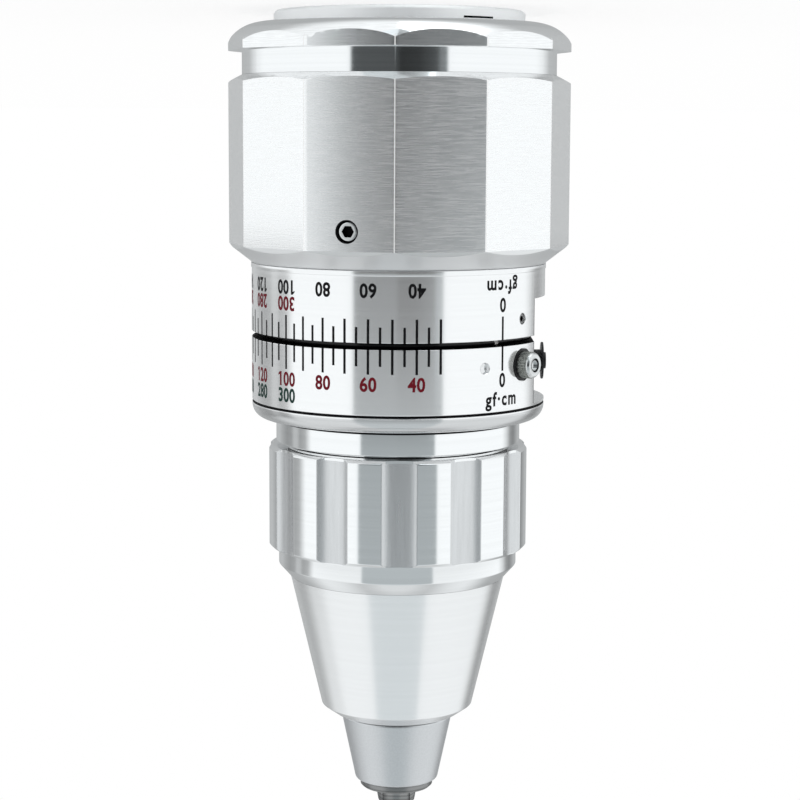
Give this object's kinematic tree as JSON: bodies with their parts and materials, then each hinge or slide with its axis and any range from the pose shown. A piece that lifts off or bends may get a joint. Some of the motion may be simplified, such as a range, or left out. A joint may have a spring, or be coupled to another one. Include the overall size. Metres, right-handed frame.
{
  "type": "handheld torque gauge",
  "caption": "Handheld torque gauge with a faceted grip, paired scale drums with a marker ring between them, and a sprung spindle that carries a jaw chuck worked by a fluted ring.",
  "frame": {"origin": "centre of the flat end of the handle, on which the gauge stands", "axes": "+Z along the gauge's axis from the handle's end to the tips of the jaws; -Y is the side with the facet corner that the picture shows near its middle; the milled flat faces -X"},
  "size_m": [0.0496, 0.0496, 0.1176],
  "materials": {
    "turned_aluminium": "bright turned and polished",
    "brushed_aluminium": "brushed across the facets, polished bevels",
    "satin_aluminium": "fine satin",
    "grey_aluminium": "dull fine turned",
    "black_ring": "glossy black",
    "black_steel": "blackened",
    "dark_steel": "hardened, dark",
    "bright_steel": "ground",
    "spring_steel": "blued"
  },
  "bodies": {
    "handle": {"end_disc": "turned_aluminium", "end_cap": "turned_aluminium", "grip": "brushed_aluminium", "grip_set_screws": "bright_steel", "handle_drum": "satin_aluminium", "marker_brake_screw": "dark_steel", "lower_bearing_outer_ring": "bright_steel", "upper_bearing_outer_ring": "bright_steel", "bearing_clip": "spring_steel", "spring_post": "bright_steel", "main_spring": "spring_steel"},
    "marker": {"marker_ring": "black_ring"},
    "spindle": {"lower_bearing_inner_ring": "bright_steel", "lower_bearing_balls": "bright_steel", "lower_bearing_cage": "bright_steel", "upper_bearing_inner_ring": "bright_steel", "upper_bearing_balls": "bright_steel", "upper_bearing_cage": "bright_steel", "spindle_clip": "spring_steel", "spindle": "bright_steel", "spring_hub": "turned_aluminium", "spring_hub_pin": "bright_steel", "drum_hub": "turned_aluminium", "chuck_drum": "satin_aluminium", "drum_cap_screw": "bright_steel", "cap_screw_washer": "black_steel", "drum_flat_screw": "black_steel", "chuck_flange": "turned_aluminium", "chuck_body": "dark_steel", "nose_cone": "grey_aluminium"},
    "chuck_sleeve": {"chuck_ring": "turned_aluminium", "chuck_cone": "satin_aluminium", "jaw_nut": "dark_steel"},
    "jaw_1": {"jaw_1": "dark_steel"},
    "jaw_2": {"jaw_2": "dark_steel"},
    "jaw_3": {"jaw_3": "dark_steel"}
  },
  "joints": [
    {"name": "spindle_turn", "type": "hinge", "parent": "handle", "child": "spindle", "pos_m": [0, 0, 0.045], "axis": [0, 0, 1], "range_deg": [-270, 270], "stiffness_Nm_per_rad": 0.00624, "deforming": ["main_spring"]},
    {"name": "marker_turn", "type": "hinge", "parent": "handle", "child": "marker", "pos_m": [0, 0, 0.0462], "axis": [0, 0, 1], "continuous": true},
    {"name": "sleeve_turn", "type": "hinge", "parent": "spindle", "child": "chuck_sleeve", "pos_m": [0, 0, 0.085], "axis": [0, 0, 1], "range_deg": [0, 1440]},
    {"name": "jaw_1_slide", "type": "slide", "parent": "spindle", "child": "jaw_1", "axis": [0, -0.2079, -0.9781], "range_m": [0, 0.0096]},
    {"name": "jaw_2_slide", "type": "slide", "parent": "spindle", "child": "jaw_2", "axis": [0.1801, 0.104, -0.9781], "range_m": [0, 0.0096]},
    {"name": "jaw_3_slide", "type": "slide", "parent": "spindle", "child": "jaw_3", "axis": [-0.1801, 0.104, -0.9781], "range_m": [0, 0.0096]}
  ],
  "couplings": [
    {"joint": "jaw_1_slide", "follows": "sleeve_turn", "m_per_rad": 0.00038197},
    {"joint": "jaw_2_slide", "follows": "sleeve_turn", "m_per_rad": 0.00038197},
    {"joint": "jaw_3_slide", "follows": "sleeve_turn", "m_per_rad": 0.00038197}
  ]
}
